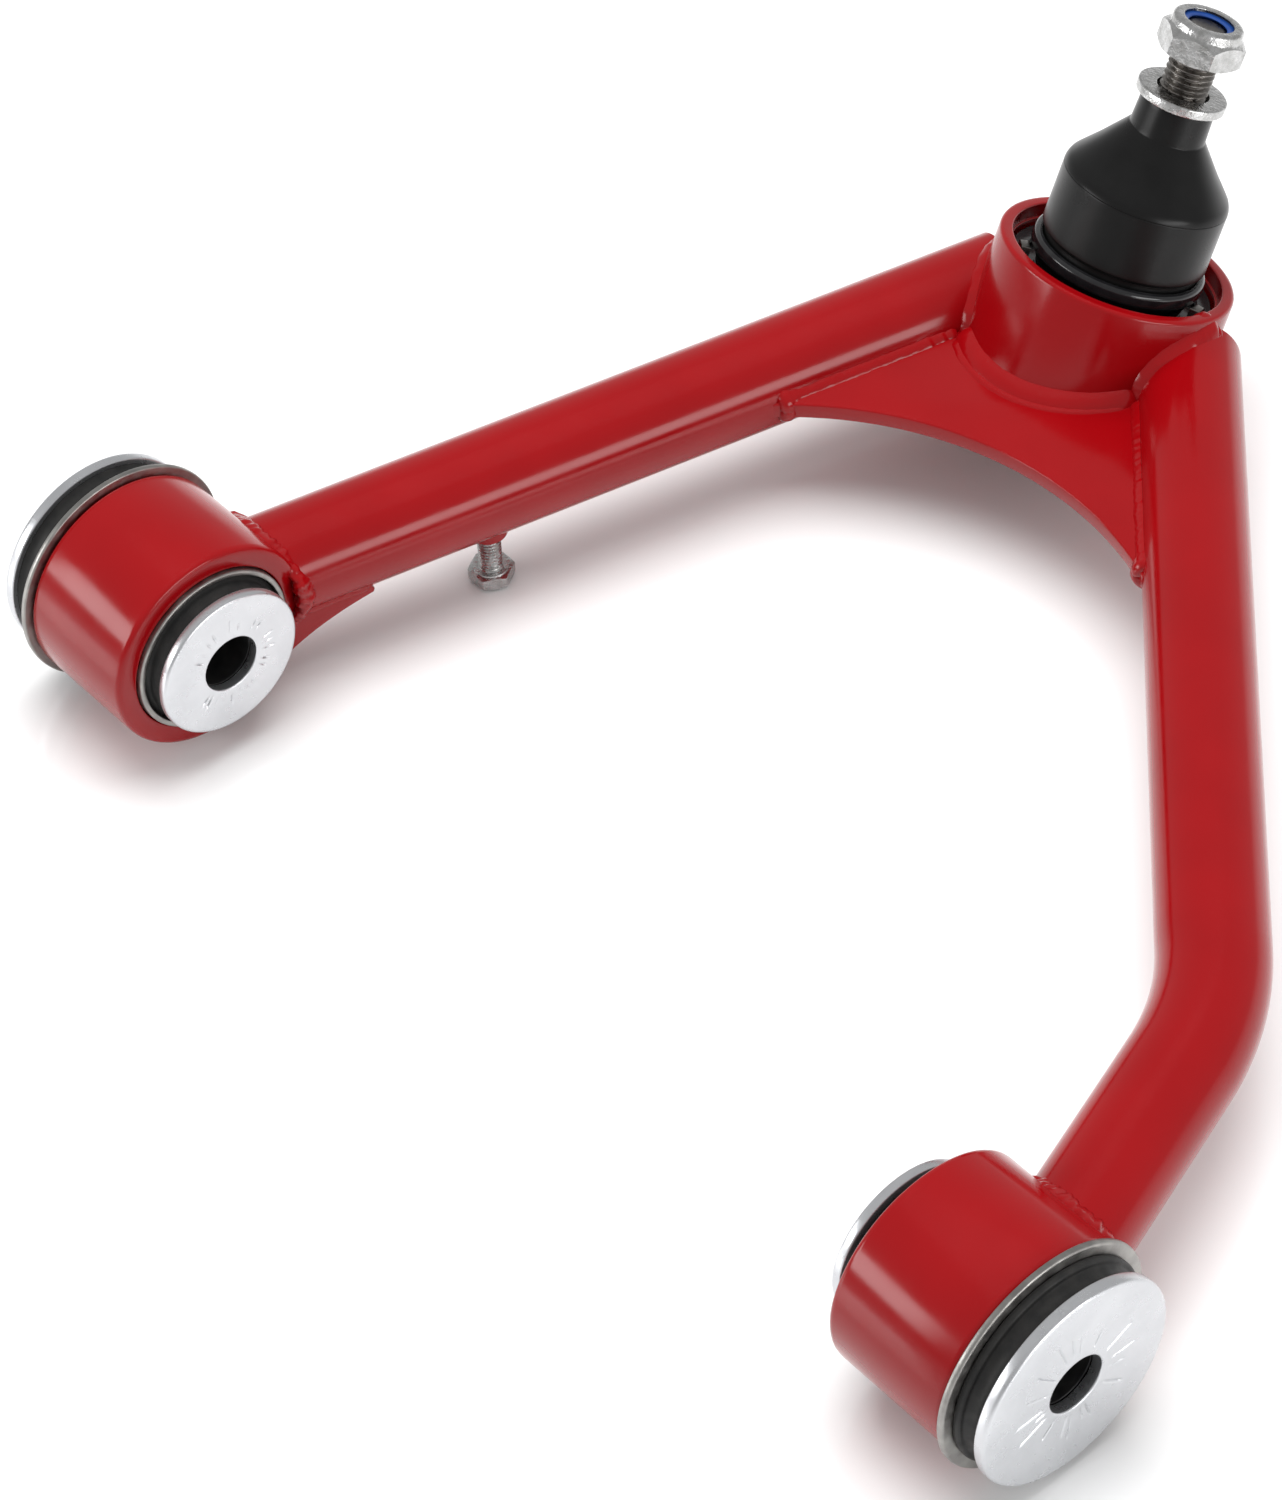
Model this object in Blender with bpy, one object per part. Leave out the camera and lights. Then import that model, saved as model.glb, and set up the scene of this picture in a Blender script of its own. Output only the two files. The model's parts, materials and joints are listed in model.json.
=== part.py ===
"""Tubular upper control arm: two steel legs, two flanged rubber bushings and a ball joint.

The part stands on the floor plane z = 0, +Z up, with the origin at the bottom centre of its
bounding box. The bushings share one pivot axis, parallel to Y. The arm reaches out along +X.
Lengths are in millimetres here and become metres through MM.
"""
import math

import bmesh
import bpy
from mathutils import Matrix, Vector

MM = 0.001
GAP = 0.3                      # running and fitting clearance between neighbouring solids

# Pivot axis
PIVOT_X = -117.85
PIVOT_Z = 28.2
EYE_Y = 136.0                  # eye centres lie at +EYE_Y (straight leg) and -EYE_Y (bent leg)

# Eyes and bushings, stations along each bushing from the eye's centre, outward positive
EYE_OD = 53.2
EYE_ID = 42.8
EYE_HALF = 16.8
SHELL_OD = 42.2
SHELL_ID = 39.4
SHELL_INNER_END = -17.9
FLANGE_OD = 56.4
FLANGE_FACE = 18.7
SLEEVE_OD = 21.0
BOLT_HOLE = 14.5
SMALL_WASHER_OD = 37.8
SMALL_WASHER_FACE = -24.2
SMALL_WASHER_T = 2.6
LARGE_WASHER_OD = 51.4
LARGE_WASHER_FACE = 28.2
LARGE_WASHER_T = 3.0

# Legs
TUBE_OD = 25.4
TUBE_WALL = 3.0
STRAIGHT_START_Y = 136.8       # where the straight leg's axis crosses the pivot axis
STRAIGHT_ANGLE = -13.56        # degrees from +X towards +Y
STRAIGHT_LENGTH = 223.0
BENT_START_Y = -144.95
BEND_X = 89.3                  # the bent leg's corner, measured from the pivot axis
BEND_Y = -114.95
BENT_ANGLE = 46.64             # degrees from +X beyond the bend
BEND_RADIUS = 70.0
BENT_LENGTH = 204.0            # from the bend's corner to the ball joint ring

# Ball joint ring and its axis
RING_X = 229.5                 # centre of the ring's upper rim, from the pivot axis
RING_Y = 57.6
RING_Z = 17.0                  # above the plane of the legs
RING_TILT = 24.0               # degrees, stud leaning towards +X
RING_TOE = -1.8                # degrees, stud leaning towards -Y
RING_OD = 59.2
RING_ID = 52.7
RING_STEP_ID = 51.5
RING_STEP = -3.6
RING_SEAT = -11.0
RING_BORE = 46.0
RING_HEIGHT = 36.3

# Gusset plate between the legs
GUSSET_T = 4.4
GUSSET_ARC_X = 86.4
GUSSET_ARC_Y = 22.0
GUSSET_ARC_R = 89.3

# Ball joint, stations along the ring's axis from the rim plane
BALL_T = -16.0
BALL_R = 13.2
LINER_IN_R = 13.5
LINER_OUT_R = 15.6
CAVITY_R = 15.9
NECK_R = 5.6
THREAD_R = 5.9
STUD_END = 62.8
WASHER_TOP = 46.2
WASHER_T = 2.5
WASHER_OD = 22.0
NUT_SEAT = 55.4
NUT_AF = 18.6
NUT_HEX = 6.6
NUT_HEIGHT = 9.2
THREAD_PITCH = 1.5

# Bracket bolt under the straight leg
BOLT_S = 81.1                  # station along the leg
BOLT_OFFSET = -2.6             # sideways from the leg's axis
BOLT_R = 2.9
BOLT_AF = 10.0
BOLT_HEAD_TOP = -24.0
BOLT_HEAD_T = 4.0

SIDES = 40
SMALL_SIDES = 24

PIVOT = Vector((PIVOT_X, 0.0, PIVOT_Z))
STRAIGHT_DIR = Vector((math.cos(math.radians(STRAIGHT_ANGLE)),
                       math.sin(math.radians(STRAIGHT_ANGLE)), 0.0))
STRAIGHT_SIDE = Vector((-STRAIGHT_DIR.y, STRAIGHT_DIR.x, 0.0))
STRAIGHT_START = PIVOT + Vector((0.0, STRAIGHT_START_Y, 0.0))
BENT_DIR = Vector((math.cos(math.radians(BENT_ANGLE)),
                   math.sin(math.radians(BENT_ANGLE)), 0.0))
RING_N = Vector((math.tan(math.radians(RING_TILT)),
                 math.tan(math.radians(RING_TOE)), 1.0)).normalized()
RING_TOP = PIVOT + Vector((RING_X, RING_Y, RING_Z))


def frame(origin, z_axis, x_hint):
    """Matrix of a local frame with its Z on z_axis and its X near x_hint, placed in metres."""
    z = Vector(z_axis).normalized()
    y = z.cross(Vector(x_hint)).normalized()
    x = y.cross(z)
    rows = Matrix((x, y, z)).transposed().to_4x4()
    return Matrix.Translation(Vector(origin) * MM) @ rows


STRAIGHT_BUSHING = frame(PIVOT + Vector((0, EYE_Y, 0)), (0, 1, 0), (1, 0, 0))
BENT_BUSHING = frame(PIVOT - Vector((0, EYE_Y, 0)), (0, -1, 0), (1, 0, 0))
RING_FRAME = frame(RING_TOP, RING_N, (1, 0, 0))
LEG_FRAME = frame(STRAIGHT_START, (0, 0, 1), STRAIGHT_DIR)


def clear_scene():
    for obj in list(bpy.data.objects):
        bpy.data.objects.remove(obj)
    for mesh in list(bpy.data.meshes):
        bpy.data.meshes.remove(mesh)


def make_material(name, colour, metallic, roughness):
    mat = bpy.data.materials.new(name)
    mat.use_nodes = True
    shader = mat.node_tree.nodes["Principled BSDF"]
    shader.inputs["Base Color"].default_value = (*colour, 1.0)
    shader.inputs["Metallic"].default_value = metallic
    shader.inputs["Roughness"].default_value = roughness
    mat.diffuse_color = (*colour, 1.0)
    return mat


def finish_object(name, bm, matrix, look, sharp=35.0):
    """Turns a bmesh in millimetres into a named object placed by matrix."""
    bmesh.ops.recalc_face_normals(bm, faces=bm.faces)
    bmesh.ops.scale(bm, vec=(MM, MM, MM), verts=bm.verts)
    mesh = bpy.data.meshes.new(name)
    bm.to_mesh(mesh)
    bm.free()
    mesh.shade_smooth()
    mesh.set_sharp_from_angle(angle=math.radians(sharp))
    obj = bpy.data.objects.new(name, mesh)
    bpy.context.scene.collection.objects.link(obj)
    obj.matrix_world = matrix
    if look is not None:
        mesh.materials.append(make_material(name + "_finish", *look))
    return obj


def spin_profile(profile, sides):
    """Turns a closed (radius, height) outline about Z."""
    bm = bmesh.new()
    verts = [bm.verts.new((r, 0.0, z)) for r, z in profile]
    edges = [bm.edges.new((verts[i], verts[(i + 1) % len(verts)])) for i in range(len(verts))]
    bmesh.ops.spin(bm, geom=verts + edges, cent=(0, 0, 0), axis=(0, 0, 1),
                   angle=math.tau, steps=sides, use_merge=True, use_normal_flip=False)
    bmesh.ops.remove_doubles(bm, verts=bm.verts, dist=0.001)
    return bm


def turned(name, profile, matrix, look, sides=SIDES):
    return finish_object(name, spin_profile(profile, sides), matrix, look)


def tube_profile(r_in, r_out, low, high, chamfer=0.0):
    """Closed outline of a straight ring, with an optional chamfer on its outer corners."""
    if chamfer <= 0.0:
        return [(r_in, low), (r_out, low), (r_out, high), (r_in, high)]
    return [(r_in, low), (r_out - chamfer, low), (r_out, low + chamfer),
            (r_out, high - chamfer), (r_out - chamfer, high), (r_in, high)]


def sphere_arc(radius, centre, start_deg, end_deg, steps):
    """(radius, height) points on a circle about centre, angles measured up from the equator."""
    points = []
    for i in range(steps + 1):
        a = math.radians(start_deg + (end_deg - start_deg) * i / steps)
        points.append((radius * math.cos(a), centre + radius * math.sin(a)))
    return points


def swept_pipe(name, path, r_out, r_in, look):
    """A pipe along a path of points in the XY plane, open at both ends."""
    bm = bmesh.new()
    outer, inner = [], []
    for i, point in enumerate(path):
        before = path[max(i - 1, 0)]
        after = path[min(i + 1, len(path) - 1)]
        along = (after - before).normalized()
        side = Vector((-along.y, along.x, 0.0))
        for radius, rings in ((r_out, outer), (r_in, inner)):
            ring = []
            for k in range(SMALL_SIDES):
                a = math.tau * k / SMALL_SIDES
                ring.append(bm.verts.new(point + side * radius * math.cos(a)
                                         + Vector((0, 0, radius * math.sin(a)))))
            rings.append(ring)
    for rings in (outer, inner):
        for low, high in zip(rings, rings[1:]):
            for k in range(SMALL_SIDES):
                j = (k + 1) % SMALL_SIDES
                bm.faces.new((low[k], low[j], high[j], high[k]))
    for end in (0, -1):
        for k in range(SMALL_SIDES):
            j = (k + 1) % SMALL_SIDES
            bm.faces.new((outer[end][k], outer[end][j], inner[end][j], inner[end][k]))
    return finish_object(name, bm, Matrix.Identity(4), look)


def plate(name, outline, low, high, matrix, look):
    """A flat plate with the given outline, between two heights of its local frame."""
    bm = bmesh.new()
    face = bm.faces.new([bm.verts.new((x, y, low)) for x, y in outline])
    grown = bmesh.ops.extrude_face_region(bm, geom=[face])
    top = [v for v in grown["geom"] if isinstance(v, bmesh.types.BMVert)]
    bmesh.ops.translate(bm, vec=(0, 0, high - low), verts=top)
    return finish_object(name, bm, matrix, look)


def hexagon(name, across_flats, low, high, matrix, look, turn=0.0):
    """A hexagonal prism between two heights of its local frame."""
    radius = across_flats / math.sqrt(3.0)
    corners = []
    for k in range(6):
        a = math.radians(60 * k + turn)
        corners.append((radius * math.cos(a), radius * math.sin(a)))
    return plate(name, corners, low, high, matrix, look)


def combine(target, tool, operation="DIFFERENCE"):
    """Adds a Boolean to target and keeps tool as a hidden guide."""
    modifier = target.modifiers.new(operation.title(), "BOOLEAN")
    modifier.operation = operation
    modifier.solver = "EXACT"
    modifier.object = tool
    tool.hide_render = True
    tool.display_type = "WIRE"


RED = ((0.42, 0.012, 0.018), 0.15, 0.28)
ZINC = ((0.72, 0.73, 0.75), 1.0, 0.28)
RAW_STEEL = ((0.36, 0.35, 0.34), 1.0, 0.42)
BLACK_STEEL = ((0.015, 0.015, 0.016), 0.6, 0.25)
DARK_STEEL = ((0.16, 0.15, 0.15), 1.0, 0.35)
RUBBER = ((0.014, 0.014, 0.015), 0.0, 0.55)
BOOT_RUBBER = ((0.018, 0.018, 0.019), 0.0, 0.42)
NYLON_BLUE = ((0.03, 0.10, 0.42), 0.0, 0.35)
LINER_WHITE = ((0.70, 0.69, 0.64), 0.0, 0.40)

clear_scene()

# ---------------------------------------------------------------- cutters
eye_cut_r = EYE_OD / 2 + GAP
straight_eye_cut = turned("cut_straight_eye", [(0, -30), (eye_cut_r, -30), (eye_cut_r, 30), (0, 30)],
                          STRAIGHT_BUSHING, None, 48)
bent_eye_cut = turned("cut_bent_eye", [(0, -30), (eye_cut_r, -30), (eye_cut_r, 30), (0, 30)],
                      BENT_BUSHING, None, 48)
ring_cut_r = RING_OD / 2 + GAP
ring_cut = turned("cut_ring", [(0, -60), (ring_cut_r, -60), (ring_cut_r, 20), (0, 20)],
                  RING_FRAME, None, 48)

# ---------------------------------------------------------------- legs
leg_r = TUBE_OD / 2
straight_path = [STRAIGHT_START + STRAIGHT_DIR * s for s in (12.0, STRAIGHT_LENGTH)]
straight_leg = swept_pipe("straight_leg_tube", straight_path, leg_r, leg_r - TUBE_WALL, RED)
combine(straight_leg, straight_eye_cut)
combine(straight_leg, ring_cut)

bent_start = PIVOT + Vector((0.0, BENT_START_Y, 0.0))
corner = PIVOT + Vector((BEND_X, BEND_Y, 0.0))
first_dir = (corner - bent_start).normalized()
bend_angle = first_dir.angle(BENT_DIR)
tangent = BEND_RADIUS * math.tan(bend_angle / 2)
turn_in = corner - first_dir * tangent
left_of_first = Vector((-first_dir.y, first_dir.x, 0.0))
bend_centre = turn_in + left_of_first * BEND_RADIUS
bent_path = [bent_start + first_dir * 12.0]
BEND_STEPS = 8
for step in range(BEND_STEPS + 1):
    turn = Matrix.Rotation(bend_angle * step / BEND_STEPS, 3, "Z")
    bent_path.append(bend_centre + turn @ (turn_in - bend_centre))
bent_path.append(corner + BENT_DIR * BENT_LENGTH)
bent_leg = swept_pipe("bent_leg_tube", bent_path, leg_r, leg_r - TUBE_WALL, RED)
combine(bent_leg, bent_eye_cut)
combine(bent_leg, ring_cut)

# ---------------------------------------------------------------- ball joint ring
ring_profile = [(RING_BORE / 2, -RING_HEIGHT), (RING_OD / 2, -RING_HEIGHT), (RING_OD / 2, -0.8),
                (RING_OD / 2 - 0.8, 0), (RING_ID / 2, 0), (RING_ID / 2, RING_STEP),
                (RING_STEP_ID / 2, RING_STEP), (RING_STEP_ID / 2, RING_SEAT), (RING_BORE / 2, RING_SEAT)]
turned("ball_joint_ring", ring_profile, RING_FRAME, RED)

# ---------------------------------------------------------------- gusset plate
arc_centre = PIVOT + Vector((GUSSET_ARC_X, GUSSET_ARC_Y, 0.0))


def arc_meets_line(point, direction):
    """The far crossing of the gusset's arc with a line along a leg, as an angle about the arc."""
    rel = point - arc_centre
    b = rel.dot(direction)
    root = math.sqrt(b * b - rel.dot(rel) + GUSSET_ARC_R ** 2)
    hit = rel + direction * (-b + root)
    return math.atan2(hit.y, hit.x)


ring_axis_at_legs = RING_TOP - RING_N * (RING_Z / RING_N.z)
BENT_SIDE = Vector((-BENT_DIR.y, BENT_DIR.x, 0.0))
plate_root = leg_r - 5.0       # how deep the plate's outline runs under each leg's surface
angle_straight = arc_meets_line(STRAIGHT_START - STRAIGHT_SIDE * plate_root, STRAIGHT_DIR)
angle_bent = arc_meets_line(corner + BENT_SIDE * plate_root, BENT_DIR)
gusset_outline = []
GUSSET_STEPS = 28
for step in range(GUSSET_STEPS + 1):
    a = angle_straight + (angle_bent - angle_straight) * step / GUSSET_STEPS
    spot = arc_centre + Vector((math.cos(a), math.sin(a), 0.0)) * GUSSET_ARC_R
    gusset_outline.append((spot.x, spot.y))
reach_bent = corner + BENT_DIR * (BENT_LENGTH - 6.0)
reach_straight = STRAIGHT_START + STRAIGHT_DIR * (STRAIGHT_LENGTH - 6.0)
gusset_outline.append((reach_bent.x, reach_bent.y))
gusset_outline.append((ring_axis_at_legs.x, ring_axis_at_legs.y))
gusset_outline.append((reach_straight.x, reach_straight.y))
gusset = plate("gusset_plate", gusset_outline, PIVOT_Z - GUSSET_T / 2, PIVOT_Z + GUSSET_T / 2,
               Matrix.Identity(4), RED)
leg_cut_profile = [(0, 0), (leg_r + GAP, 0), (leg_r + GAP, 300), (0, 300)]
straight_leg_cut = turned("cut_straight_leg", leg_cut_profile,
                          frame(STRAIGHT_START, STRAIGHT_DIR, (0, 0, 1)), None, 48)
bent_leg_cut = turned("cut_bent_leg", leg_cut_profile,
                      frame(corner, BENT_DIR, (0, 0, 1)), None, 48)
combine(gusset, straight_leg_cut)
combine(gusset, bent_leg_cut)
combine(gusset, ring_cut)

# ---------------------------------------------------------------- brace under the straight leg's eye
brace_outline = [(8.0, -4.0), (8.0, -22.6), (21.0, -22.4), (25.0, -20.4), (30.0, -17.6),
                 (36.0, -14.6), (42.0, -12.4), (48.0, -10.6), (48.0, -4.0)]
brace_frame = frame(STRAIGHT_START + STRAIGHT_SIDE * -8.0, -STRAIGHT_SIDE, STRAIGHT_DIR)
brace = plate("straight_leg_eye_brace", brace_outline, -2.0, 2.0, brace_frame, RED)
combine(brace, straight_leg_cut)
combine(brace, straight_eye_cut)

# ---------------------------------------------------------------- boss and bolt for the line bracket
bolt_frame = LEG_FRAME @ Matrix.Translation(Vector((BOLT_S, BOLT_OFFSET, 0.0)) * MM)
boss_profile = [(BOLT_R + GAP, -13.2), (4.3, -13.2), (4.8, -12.7), (4.8, -4.8), (BOLT_R + GAP, -4.8)]
boss = turned("line_bracket_boss", boss_profile, bolt_frame, RED, SMALL_SIDES)
boss_hole_cut = turned("cut_boss_seat", [(0, -30), (4.8 + GAP, -30), (4.8 + GAP, 0), (0, 0)],
                       bolt_frame, None, SMALL_SIDES)
combine(straight_leg, boss_hole_cut)
head_low = BOLT_HEAD_TOP - BOLT_HEAD_T
bolt = hexagon("line_bracket_bolt", BOLT_AF, head_low, BOLT_HEAD_TOP, bolt_frame, ZINC, 42.5)
head_round = turned("cut_bolt_head", [(0, head_low), (4.9, head_low), (5.9, head_low + 0.7),
                                      (5.9, BOLT_HEAD_TOP), (0, BOLT_HEAD_TOP)],
                    bolt_frame, None, SMALL_SIDES)
combine(bolt, head_round, "INTERSECT")
shank = turned("add_bolt_shank", [(0, BOLT_HEAD_TOP - 1.0), (BOLT_R, BOLT_HEAD_TOP - 1.0),
                                  (BOLT_R, -3.6), (BOLT_R - 0.6, -3.0), (0, -3.0)],
               bolt_frame, None, SMALL_SIDES)
combine(bolt, shank, "UNION")

# ---------------------------------------------------------------- eyes and bushings
hole_r = BOLT_HOLE / 2
sleeve_r = SLEEVE_OD / 2
rubber_in = sleeve_r + GAP
rubber_out = SHELL_ID / 2 - GAP
for leg, where in (("straight_leg", STRAIGHT_BUSHING), ("bent_leg", BENT_BUSHING)):
    eye = tube_profile(EYE_ID / 2, EYE_OD / 2, -EYE_HALF, EYE_HALF, 0.8)
    turned(leg + "_eye", eye, where, RED)
    shell = [(SHELL_ID / 2, SHELL_INNER_END), (SHELL_OD / 2, SHELL_INNER_END),
             (SHELL_OD / 2, EYE_HALF + GAP), (FLANGE_OD / 2 - 0.5, EYE_HALF + GAP),
             (FLANGE_OD / 2, EYE_HALF + GAP + 0.4), (FLANGE_OD / 2, FLANGE_FACE - 0.4),
             (FLANGE_OD / 2 - 0.4, FLANGE_FACE), (SHELL_ID / 2, FLANGE_FACE)]
    turned(leg + "_bushing_shell", shell, where, RAW_STEEL)
    inner_face = SMALL_WASHER_FACE + SMALL_WASHER_T
    outer_face = LARGE_WASHER_FACE - LARGE_WASHER_T
    rubber = [(rubber_in, inner_face + GAP), (17.2, inner_face + GAP), (17.8, inner_face + 1.0),
              (17.8, SHELL_INNER_END + 0.6), (rubber_out, SHELL_INNER_END + 1.6),
              (rubber_out, FLANGE_FACE + GAP), (25.4, FLANGE_FACE + GAP), (25.4, FLANGE_FACE + 2.4),
              (23.6, FLANGE_FACE + 3.2), (23.6, outer_face - 1.0), (22.8, outer_face - GAP),
              (rubber_in, outer_face - GAP)]
    turned(leg + "_bushing_rubber", rubber, where, RUBBER)
    sleeve = tube_profile(hole_r, sleeve_r, inner_face + GAP, outer_face - GAP)
    turned(leg + "_inner_sleeve", sleeve, where, RAW_STEEL, SMALL_SIDES)
    small = tube_profile(hole_r, SMALL_WASHER_OD / 2, SMALL_WASHER_FACE, inner_face, 0.6)
    turned(leg + "_small_washer", small, where, ZINC)
    large = tube_profile(hole_r, LARGE_WASHER_OD / 2, outer_face, LARGE_WASHER_FACE, 0.7)
    turned(leg + "_large_washer", large, where, ZINC)

# ---------------------------------------------------------------- ball joint
mouth = math.degrees(math.asin(11.1 / CAVITY_R))
cavity = sphere_arc(CAVITY_R, BALL_T, -38.0, 90.0 - mouth, 9)
cavity_low = cavity[0]
cover_r = 14.6
body_profile = [(cover_r, -31.5), (22.6, -31.5), (22.6, -10.6), (25.3, -10.6), (25.3, -7.0),
                (18.3, -7.0), (18.3, -1.6), (17.6, -0.9), (13.6, -0.9)]
body_profile += list(reversed(cavity))
body_profile += [(cover_r, cavity_low[1] - 1.6)]
turned("ball_joint_body", body_profile, RING_FRAME, BLACK_STEEL)

cover_top = cavity_low[1] - 1.9
cover_profile = [(0, -31.2), (cover_r - GAP, -31.2), (cover_r - GAP, cover_top), (9.5, cover_top),
                 (9.5, cover_top - 1.9), (0, cover_top - 1.9)]
turned("ball_joint_bottom_cover", cover_profile, RING_FRAME, BLACK_STEEL)

liner = sphere_arc(LINER_OUT_R, BALL_T, -32.0, 42.0, 8)
liner += list(reversed(sphere_arc(LINER_IN_R, BALL_T, -34.0, 42.0, 8)))
turned("ball_socket_liner", liner, RING_FRAME, LINER_WHITE)

snap_profile = [(21.6, -6.6), (25.3, -6.6), (25.3, -5.0), (21.6, -5.0)]
snap = turned("ball_joint_snap_ring", snap_profile, RING_FRAME, BLACK_STEEL)
snap_gap = plate("cut_snap_gap", [(10.0, -3.2), (30.0, -3.2), (30.0, 3.2), (10.0, 3.2)],
                 -10.0, 0.0, RING_FRAME @ Matrix.Rotation(math.radians(60.0), 4, "Z"), None)
combine(snap, snap_gap)

boot_profile = [(18.6, -4.6), (19.4, -4.6), (19.4, 4.6), (20.2, 5.0), (20.6, 5.6), (20.6, 20.4),
                (20.1, 21.8), (15.5, 27.3), (9.8, 34.6), (9.3, 35.2), (9.0, 43.3),
                (8.0, 43.3), (8.0, 35.2), (8.3, 34.0), (13.2, 26.0), (18.0, 20.2), (18.3, 19.2),
                (18.3, 8.0), (18.6, 5.0)]
turned("dust_boot", boot_profile, RING_FRAME, BOOT_RUBBER)

clamp_profile = [(19.7, -0.8), (21.2, -0.8), (21.6, -0.3), (21.6, 2.4), (21.1, 3.0), (19.7, 3.0)]
turned("boot_clamp_ring", clamp_profile, RING_FRAME, BLACK_STEEL)

collar_profile = tube_profile(6.85, 7.7, 36.2, 42.8)
turned("boot_neck_ring", collar_profile, RING_FRAME, DARK_STEEL, SMALL_SIDES)

stud_profile = sphere_arc(BALL_R, BALL_T, -75.0, 62.0, 10)
stud_profile = [(0, stud_profile[0][1])] + stud_profile
stud_profile += [(NECK_R, -3.4), (NECK_R, 17.0), (7.4, 22.0), (7.4, 24.5), (6.5, 35.5),
                 (6.3, 43.0), (THREAD_R, 43.6), (THREAD_R, STUD_END - 1.3),
                 (THREAD_R - 1.3, STUD_END), (0, STUD_END)]
turned("ball_stud", stud_profile, RING_FRAME, DARK_STEEL, SMALL_SIDES)

washer = tube_profile(6.5, WASHER_OD / 2, WASHER_TOP - WASHER_T, WASHER_TOP, 0.35)
turned("stud_washer", washer, RING_FRAME, ZINC, 32)

nut_low, nut_top, nut_hex_top = NUT_SEAT, NUT_SEAT + NUT_HEIGHT, NUT_SEAT + NUT_HEX
nut = hexagon("lock_nut", NUT_AF, nut_low, nut_top, RING_FRAME, ZINC, 55.0)
nut_corner = NUT_AF / math.sqrt(3.0)
nut_envelope = [(0, nut_low), (NUT_AF / 2, nut_low), (nut_corner + 0.1, nut_low + 0.8),
                (nut_corner + 0.1, nut_hex_top - 1.0), (8.9, nut_hex_top), (8.7, nut_top - 1.3),
                (8.2, nut_top - 0.5), (7.2, nut_top), (0, nut_top)]
nut_round = turned("cut_nut_round", nut_envelope, RING_FRAME, None, 36)
combine(nut, nut_round, "INTERSECT")
nut_bore = [(0, nut_low - 1), (6.9, nut_low - 1), (6.2, nut_low + 0.5), (6.2, nut_hex_top - 1.1),
            (7.5, nut_hex_top - 1.1), (7.5, nut_top - 0.7), (6.1, nut_top - 0.4),
            (6.1, nut_top + 1), (0, nut_top + 1)]
nut_hole = turned("cut_nut_bore", nut_bore, RING_FRAME, None, 32)
combine(nut, nut_hole)
nylon_low = nut_hex_top - 0.8
nylon = [(6.25, nylon_low), (7.2, nylon_low), (7.2, nylon_low + 2.4), (5.2, nylon_low + 2.4),
         (4.7, nylon_low + 2.1), (4.7, nylon_low + 1.95), (5.2, nylon_low + 1.45),
         (6.25, nylon_low + 0.4)]
turned("nylon_insert", nylon, RING_FRAME, NYLON_BLUE, 32)
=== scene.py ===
"""Looks of the tubular control arm: fine meshes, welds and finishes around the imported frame.

Lengths are in millimetres here and become metres through MM. Places and sizes are measured on the
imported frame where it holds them; the constants add the centre lines and the fine detail.
"""
import json
import math
import random
from collections import namedtuple

import bmesh
import bpy
from mathutils import Matrix, Vector, noise


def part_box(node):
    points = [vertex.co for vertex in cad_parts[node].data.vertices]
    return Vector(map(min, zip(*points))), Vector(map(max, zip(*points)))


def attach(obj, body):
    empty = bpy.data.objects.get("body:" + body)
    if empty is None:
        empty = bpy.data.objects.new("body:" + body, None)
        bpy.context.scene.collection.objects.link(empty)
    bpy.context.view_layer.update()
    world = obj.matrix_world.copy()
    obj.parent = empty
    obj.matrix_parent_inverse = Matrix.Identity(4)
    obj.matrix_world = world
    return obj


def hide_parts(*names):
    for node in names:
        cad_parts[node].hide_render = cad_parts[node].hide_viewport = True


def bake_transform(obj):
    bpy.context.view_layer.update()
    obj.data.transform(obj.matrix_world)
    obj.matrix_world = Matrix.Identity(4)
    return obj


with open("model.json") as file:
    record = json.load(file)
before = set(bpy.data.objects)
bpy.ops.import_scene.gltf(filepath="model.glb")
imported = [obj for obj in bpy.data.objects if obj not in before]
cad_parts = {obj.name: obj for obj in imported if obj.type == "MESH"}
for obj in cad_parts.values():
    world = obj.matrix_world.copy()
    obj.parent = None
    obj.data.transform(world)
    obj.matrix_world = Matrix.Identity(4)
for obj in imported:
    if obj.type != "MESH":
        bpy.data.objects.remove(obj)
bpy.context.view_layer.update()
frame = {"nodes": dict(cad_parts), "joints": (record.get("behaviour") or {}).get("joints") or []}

MM = 0.001
SIDES = 128                    # facets round a turned piece
UP = Vector((0.0, 0.0, 1.0))

# Centre lines of the legs, measured from the pivot axis
STRAIGHT_CROSS = 0.8           # the straight leg's axis crosses the pivot axis this far past its eye's centre
STRAIGHT_ANGLE = -13.56        # degrees from +X
BENT_CROSS = -8.95
BEND_X = 89.3
BEND_Y = -114.95
BENT_ANGLE = 46.64
BEND_RADIUS = 70.0
TUBE_R = 12.7

# Curved edge of the gusset plate, measured from the pivot axis
GUSSET_X = 86.4
GUSSET_Y = 22.0
GUSSET_R = 89.3

# Station of the steps inside the ring's mouth, from its rim
MOUTH_R = 26.35
MOUTH_STEP = -3.6
STEP_R = 25.75
SEAT = -11.0

THREAD_PITCH = 1.5             # stud
BOLT_PITCH = 1.0               # bracket bolt


# ---------------------------------------------------------------- frames and measuring
Extent = namedtuple("Extent", "inner outer low high")


def axes_frame(origin, z_axis, x_hint):
    """Local frame at origin with its Z on z_axis and its X near x_hint."""
    z = Vector(z_axis).normalized()
    y = z.cross(Vector(x_hint)).normalized()
    rotation = Matrix((y.cross(z), y, z)).transposed().to_4x4()
    return Matrix.Translation(Vector(origin)) @ rotation


def joint(name):
    return next(j for j in frame["joints"] if j["name"] == name)


def middle(node):
    """Centre of a node's box, in millimetres."""
    low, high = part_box(node)
    return (low + high) / (2 * MM)


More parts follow.
